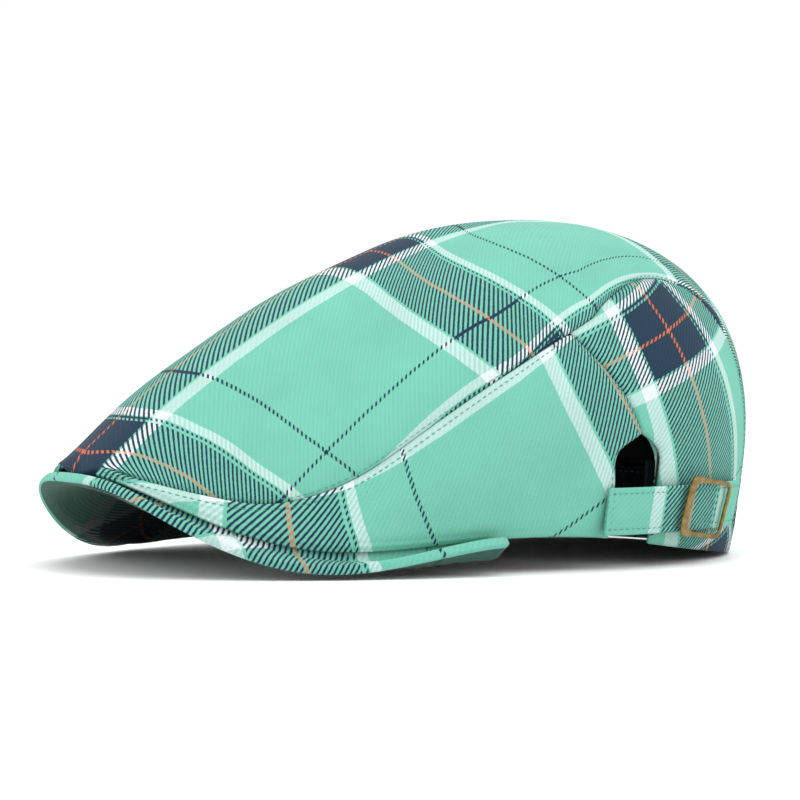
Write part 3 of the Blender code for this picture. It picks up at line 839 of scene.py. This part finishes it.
top_outer = crown_panel("top_panel_cloth", "top_panel", top_grid(SEAM_HALF_GAP), False, top_lay, "top")
lining_panel("top_lining", "lining_top", top_grid(LINING_HALF_GAP), False)
for side, mirrored, split, rear_split in (("left", False, KEYHOLE_FRONT, KEYHOLE_REAR),
                                          ("right", True, PLAIN_SPLIT, PLAIN_SPLIT)):
    side_outer = crown_panel(f"side_panel_cloth_{side}", f"side_panel_{side}",
                             side_grid(SEAM_HALF_GAP, split), mirrored, side_lay, "side")
    crown_panel(f"back_panel_cloth_{side}", f"back_panel_{side}",
                back_grid(SEAM_HALF_GAP, rear_split), mirrored, back_lay, "back")
    lining_panel(f"side_lining_{side}", f"lining_side_{side}",
                 side_grid(LINING_HALF_GAP, split), mirrored)
    lining_panel(f"back_lining_{side}", f"lining_back_{side}",
                 back_grid(LINING_HALF_GAP, rear_split), mirrored)
    for label, which, far in ((f"side_top_stitching_{side}", "first_column", 0.003),
                              (f"side_rear_stitching_{side}", "last_row", 0.0022)):
        path, normal = inset_line(side_outer, which, far)
        threads(label, path[4:-4], normal[4:-4])
for side, which in (("left", "last_column"), ("right", "first_column")):
    path, normal = inset_line(top_outer, which, 0.0012)
    threads(f"top_edge_stitching_{side}", path[4:-4], normal[4:-4], radius=0.00014)


# ---- sweatband and label ---------------------------------------------------
def build_band_looks():
    """Ribbed tape round the head opening, and the blank label sewn to it at the back."""
    rises = np.linspace(0, BAND_HEIGHT, 29)
    first, last = KEYHOLE_REAR + 2.0, 360.0 + KEYHOLE_FRONT - 1.0
    outer = ground(band_grid(first, last, 481, rises, -0.0001))
    inner = ground(band_grid(first, last, 481, rises, -BAND_THICKNESS))
    made = cloth_sheet("sweatband_tape", outer, inner, band_rep, weave_map(outer))
    declare(["sweatband"])
    for label, rise in (("band_upper_stitching", BAND_HEIGHT - 0.0025), ("band_lower_stitching", 0.0025)):
        line = band_grid(first + 1, last - 1, 700, [rise], -BAND_THICKNESS)[:, 0]
        facing = line * 0.0
        facing[:, :2] = (np.array([0, HEM_CENTRE_Y]) - line[:, :2])
        threads(label, line, facing)
    rises = np.linspace(0.005, 0.021, 17)
    outer = band_grid(97.0, 109.0, 41, rises, -BAND_THICKNESS - GAP)
    inner = band_grid(97.0, 109.0, 41, rises, -BAND_THICKNESS - GAP - 0.0004)
    made = cloth_sheet("care_label_tape", outer, inner, label_tape, weave_map(outer))
    declare(["care_label"])


build_band_looks()


# ---- peak ------------------------------------------------------------------
def brim_lay(p):
    """Plaid on the peak: stripes run fore and aft, the cross stripes follow the plan's depth."""
    across = 162.0 - p[..., 0] * 1000
    along = 67.1 + 0.83 * p[..., 1] * 1000 + 0.12 * np.abs(p[..., 0] * 1000)
    return across, along


def build_peak():
    """Cover of the peak: one sheet over the board, round its edge and back underneath.

    The profile's upper part lies on the board, the rounded edge is half a superellipse
    around the board's edge and the lower part lies under the board. Past its rim the lower part
    carries a darker copy of the plaid: painted shade.
    """
    near = np.linspace(1 / 3, 1, 28)
    top = brim_surface(near, 40, 281)
    up = up_from(top)
    middle = BRIM_COVER + GAP + BRIM_BOARD / 2
    half = BRIM_BOARD / 2 + PEAK_CLOTH + PEAK_SLACK
    rib = top - up * middle
    outside = np.cross(direction(np.gradient(rib[0], axis=0)), up[0])
    outside *= np.sign((outside * (rib[0] - rib[8])).sum(-1, keepdims=True))
    bulge = PEAK_CLOTH + PEAK_SLACK
    edge_rows = 23
    painted_shade_from = 6           # rows past the rounded edge, where the painted shade of the underside begins

    def layer(reach, rise):
        """The whole profile with its edge that far out and its faces that far up and down."""
        a = np.linspace(np.pi / 2, -np.pi / 2, edge_rows + 2)[1:-1, None, None]
        wrap = (rib[0] + outside * reach * superellipse(np.cos(a), 0.75)
                + up[0] * rise * superellipse(np.sin(a), 0.8))
        return np.concatenate([(rib + up * rise)[::-1], wrap, rib - up * rise])
    outer = layer(bulge, half)
    inner = layer(PEAK_SLACK, half - PEAK_CLOTH)
    rows = np.concatenate([rib[::-1], np.repeat(rib[:1], edge_rows, 0), rib])
    cross, along = brim_lay(rows)
    below_edge = run_along(outer, 0)
    start = below_edge[len(rib) - 1]
    past = np.clip(below_edge - start, 0, None) * 1000
    cross = np.where(past > 0, cross[len(rib) - 1] - outside[:, 0] * past, cross)
    along = np.where(past > 0, along[len(rib) - 1] + 0.83 * outside[:, 1] * past, along)
    made = cloth_sheet("peak_cover_cloth", ground(outer), ground(inner), crown_twill,
                       plaid_maps(cross, along))
    # painted shade: faces of the underside past the rim take the darker copy of the plaid
    made.data.materials.append(painted_shade_twill)
    wide = outer.shape[1] - 1
    rows = np.arange(len(made.data.polygons)) // wide
    first = len(rib) + edge_rows + painted_shade_from
    second = len(outer) - 1
    dark = ((rows >= first) & (rows < second)) | ((rows >= second + first) & (rows < 2 * second))
    made.data.polygons.foreach_set("material_index", dark.astype(np.int32))
    declare(["brim_top_cover", "brim_under_cover"])


build_peak()


# ---- keyhole facing --------------------------------------------------------
def build_facing_looks():
    """Binding turned inside round the keyhole."""
    path = np.concatenate([spoke(KEYHOLE_FRONT, (0.97, 0.90, 0.83)), [QUARTER_SEAM[-1]],
                           spoke(KEYHOLE_REAR, (0.84, 0.90, 0.97))])
    path = curve(path, 161)
    rows = np.stack([shift(path, -by) for by in np.linspace(0.004, FACING_WIDTH, 13)], 1)
    deep = CLOTH + LINING_GAP + LINING + 2 * GAP
    outer = crown(rows[..., 0], rows[..., 1], -deep)
    inner = crown(rows[..., 0], rows[..., 1], -deep - 0.0006)
    uv = np.stack([run_along(outer, 0), run_along(outer, 1)], -1) * 1000
    maps = [("sett", (uv + 50) / SETT), ("weave", uv / 10)]
    made = cloth_sheet("keyhole_facing_cloth", outer, inner, crown_twill, maps)
    declare(["keyhole_facing"])


build_facing_looks()


# ---- strap and buckle ------------------------------------------------------
centre, radius = strap_circle()


def strap_face(angles, rises, out):
    """Points of the strap: an arc round its own axis, leaning outwards as it rises."""
    a = np.asarray(angles)[:, None]
    rise = np.asarray(rises)[None, :]
    reach = radius + out + STRAP_LEAN * rise
    return np.stack(np.broadcast_arrays(centre[0] + reach * np.cos(a), centre[1] + reach * np.sin(a),
                                        STRAP_TOP_Z - STRAP_WIDTH / 2 + rise), -1)


def build_strap_looks():
    """Folded strap: two layers pressed flat with rolled edges and a stitch line along each."""
    angles = np.radians(np.linspace(STRAP_FROM - 1.6, STRAP_TO, 361))
    rises = np.sin(np.linspace(-np.pi / 2, np.pi / 2, 57)) * STRAP_WIDTH / 2
    from_edge = STRAP_WIDTH / 2 - np.abs(rises)
    roll = STRAP_THICKNESS / 2 * np.sqrt(np.clip(1 - (1 - np.clip(from_edge / 0.0008, 0, 1))**2, 0, 1))
    ditch = 0.00016 * np.exp(-((from_edge - 0.0022) / 0.0005)**2)
    mid = STRAP_OUT + STRAP_THICKNESS / 2
    outer = strap_face(angles, rises, 0.0)
    out = np.stack([np.cos(angles), np.sin(angles), 0 * angles], -1)
    lean = out[:, None]
    inner = outer + lean * (mid - np.maximum(roll, 0.00012) + ditch)[None, :, None]
    outer = outer + lean * (mid + np.maximum(roll, 0.00012) - ditch)[None, :, None]
    length = (angles * 130.5)[:, None] + 0 * rises[None]
    along = length - 33.0
    across = 69.0 + rises[None] * 1000 + 0 * length
    tail = length > length.max() - 0.9
    along, across = np.where(tail, 8.0, along), np.where(tail, 8.0, across)
    teeth = 0.00030 * np.sign(np.sin(np.arange(len(rises)) * np.pi / 2 + 0.7))
    back_way = np.stack([-np.sin(angles[-1]), np.cos(angles[-1]), 0.0])
    outer[-1] += back_way * teeth[:, None]
    inner[-1] += back_way * teeth[:, None]
    made = cloth_sheet("strap_cloth", outer, inner, crown_twill, plaid_maps(across, along))
    declare(["adjuster_strap"])
    rise_line = np.linspace(-0.45, 0.45, 40) * STRAP_WIDTH
    line = strap_face([angles[0] + 0.016], rise_line, mid + STRAP_THICKNESS / 2 - 0.00016)[0]
    threads("strap_end_stitching", line, np.repeat(out[:1], 40, 0))
    for label, rise in (("strap_upper_stitching", STRAP_WIDTH / 2 - 0.0022),
                        ("strap_lower_stitching", -STRAP_WIDTH / 2 + 0.0022)):
        line = strap_face(angles[3:-3], [rise], mid + STRAP_THICKNESS / 2 - 0.00016)[:, 0]
        threads(label, line, out[3:-3])


def swept(name, spine, wide, thick, widths, depths, look, body, closed=False):
    """Bar with a rounded-rectangle section swept along a spine given with its two side directions."""
    a = np.linspace(0, 2 * np.pi, 25)[:-1]
    cx = superellipse(np.cos(a), 0.55)
    cy = superellipse(np.sin(a), 0.55)
    ring = (wide[:, None] * (cx[None, :, None] * widths[:, None, None] / 2)
            + thick[:, None] * (cy[None, :, None] * depths[:, None, None] / 2))
    verts = spine[:, None] + ring
    n, m = verts.shape[:2]
    idx = np.arange(n * m).reshape(n, m)
    if closed:
        idx = np.concatenate([idx, idx[:1]])
    faces = tube_faces(idx)
    verts = verts.reshape(-1, 3)
    if not closed:
        fan = [np.stack([np.full(m // 2 - 1, e[0]), e[1:m - 2:2], e[2:m - 1:2], e[3:m:2]], -1)
               for e in (idx[0][::-1], idx[-1])]
        faces = np.concatenate([faces] + fan)
    if signed_volume(verts, faces) < 0:
        faces = faces[:, ::-1]
    return make(name, verts, faces, look, body)


def build_buckle_looks():
    """Slider buckle: a rounded rectangular ring, broad at the left, arched over the strap at the
    top, and a thin bar behind the strap joining its upper and lower sides."""
    angle = np.radians(BUCKLE_ANGLE)
    out = np.array([np.cos(angle), np.sin(angle), 0.0])
    along = np.array([-np.sin(angle), np.cos(angle), 0.0])
    up = direction(np.array([0.0, 0.0, 1.0]) + out * STRAP_LEAN)
    away = np.cross(along, up)
    middle = strap_face([angle], [0.0], STRAP_OUT + STRAP_THICKNESS / 2)[0, 0] - along * 0.0027
    lean = np.radians(7.0)
    along, up = along * np.cos(lean) - up * np.sin(lean), up * np.cos(lean) + along * np.sin(lean)
    w, h = BUCKLE_WIDTH / 2 + 0.0015, BUCKLE_HEIGHT / 2
    t = np.linspace(0, 2 * np.pi, 257)[:-1]
    left, right, end = LEFT_BAR * 0.62, RIGHT_BAR / 2, END_BAR / 2
    cu = superellipse(np.cos(t), 0.24)
    cv = superellipse(np.sin(t), 0.24)
    u = np.where(cu < 0, cu * (w - left), cu * (w - right))
    v = cv * (h - end)
    front = STRAP_THICKNESS / 2 + FRAME_CLEAR + FRAME_THICK / 2
    arch = 0.0007 * (1 - (u / w)**2) * (v > 0) * np.clip(v / (h - end), 0, 1)**4
    spine = middle + along * u[:, None] + up * v[:, None] + away * (front + arch)[:, None]
    tangent = direction(np.roll(spine, -1, 0) - np.roll(spine, 1, 0))
    wide = direction(np.cross(tangent, away))
    on_left = np.clip(-u / (w - left), 0, 1)**3
    on_right = np.clip(u / (w - right), 0, 1)**6
    widths = END_BAR + (LEFT_BAR * 1.24 - END_BAR) * on_left + (RIGHT_BAR - END_BAR) * on_right
    depths = np.full(len(t), FRAME_THICK)
    ring = swept("buckle_ring", spine, wide, np.repeat(away[None], len(t), 0), widths, depths,
                 brass, "buckle", closed=True)
    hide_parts("buckle_frame")
    back = -STRAP_THICKNESS / 2 - BAR_CLEAR - BAR_THICK / 2
    s = np.linspace(-1, 1, 61)
    dip = back + (front - back) * np.clip((np.abs(s) - 0.86) / 0.14, 0, 1)**1.5
    spine = middle + up * (s * (h - end))[:, None] + away * dip[:, None]
    wide = np.repeat(along[None], len(s), 0)
    thick = np.cross(direction(np.gradient(spine, axis=0)), wide)
    bar = swept("buckle_middle_bar", spine, wide, thick, np.full(len(s), MID_BAR),
                np.full(len(s), BAR_THICK), brass, "buckle")


build_strap_looks()
build_buckle_looks()


# ---- table, light and camera -----------------------------------------------
def build_stage():
    """Pale seamless table top: a disc of rings and spokes, closed with a fan at its middle."""
    look, tree, shader = new_material("white_table")
    add = partial(node, tree)
    spot = add("TexCoord")
    cloud = add("TexNoise", [("Vector", spot.outputs["Object"]), ("Scale", 3.0)])
    pale = add("MapRange", [("Value", cloud), ("To Min", 0.98), ("To Max", 0.99)])
    fill(tree, shader, [("Base Color", pale), ("Roughness", 0.6)])
    rings, spokes = 41, 48
    a = np.linspace(0, 2 * np.pi, spokes + 1)[:-1]
    r = np.linspace(0.02, 6.0, rings)
    verts = np.stack([np.outer(r, np.cos(a)), np.outer(r, np.sin(a)),
                      np.full((rings, spokes), -0.0002)], -1)
    faces = tube_faces(np.arange(rings * spokes).reshape(rings, spokes))
    first = np.arange(1, spokes - 1, 2)
    centre_fan = np.stack([0 * first, first, first + 1, (first + 2) % spokes], -1)
    mesh = bpy.data.meshes.new("table_top")
    mesh.from_pydata(verts.reshape(-1, 3).tolist(), [], np.concatenate([faces, centre_fan]).tolist())
    mesh.materials.append(look)
    floor = bpy.data.objects.new("table_top", mesh)
    bpy.context.scene.collection.objects.link(floor)


def aimed(place, aim):
    """Placement at one point with the object's own -Z axis turned towards another."""
    turned = (Vector(aim) - Vector(place)).to_track_quat("-Z", "Y").to_matrix().to_4x4()
    return Matrix.Translation(place) @ turned


def area_light(name, place, aim, size, power, colour="FFFFFF"):
    """Rectangular soft light, its power in watts."""
    lamp = bpy.data.lights.new(name, "AREA")
    lamp.shape = "RECTANGLE"
    lamp.size, lamp.size_y = size
    lamp.energy = power
    lamp.color = tuple(linear(colour))
    made = bpy.data.objects.new(name, lamp)
    bpy.context.scene.collection.objects.link(made)
    made.matrix_world = aimed(place, aim)


build_stage()
area_light("overhead_softbox", (0.35, -0.1, 1.5), (0, 0, 0.05), (1.6, 1.6), 15)
area_light("front_left_softbox", (-0.5, -1.5, 0.8), (0, 0, 0.06), (1.0, 1.0), 6)
area_light("rear_right_softbox", (1.5, 0.9, 0.9), (0, 0, 0.06), (1.0, 1.0), 6)
world = bpy.data.worlds.new("studio")
world.use_nodes = True
background = world.node_tree.nodes["Background"]
background.inputs["Color"].default_value = tone("FFFFFF")
background.inputs["Strength"].default_value = 1.03
bpy.context.scene.world = world


def set_camera(azimuth, elevation, distance, aim_z, lens, roll):
    """Camera on a circle round the cap, looking at a point above the origin, turned by its roll."""
    a, e = np.radians(azimuth), np.radians(elevation)
    place = Vector((np.sin(a) * np.cos(e), -np.cos(a) * np.cos(e), np.sin(e))) * distance
    eye = bpy.data.cameras.new("studio_camera")
    eye.lens = lens
    eye.sensor_width = 36.0
    made = bpy.data.objects.new("studio_camera", eye)
    bpy.context.scene.collection.objects.link(made)
    made.matrix_world = aimed(place, (0, 0, aim_z)) @ Matrix.Rotation(np.radians(roll), 4, "Z")
    bpy.context.scene.camera = made


set_camera(53.825, 4.673, 1.3, 0.0589, 154.86, 0.57)
bpy.context.scene.view_settings.view_transform = "Standard"
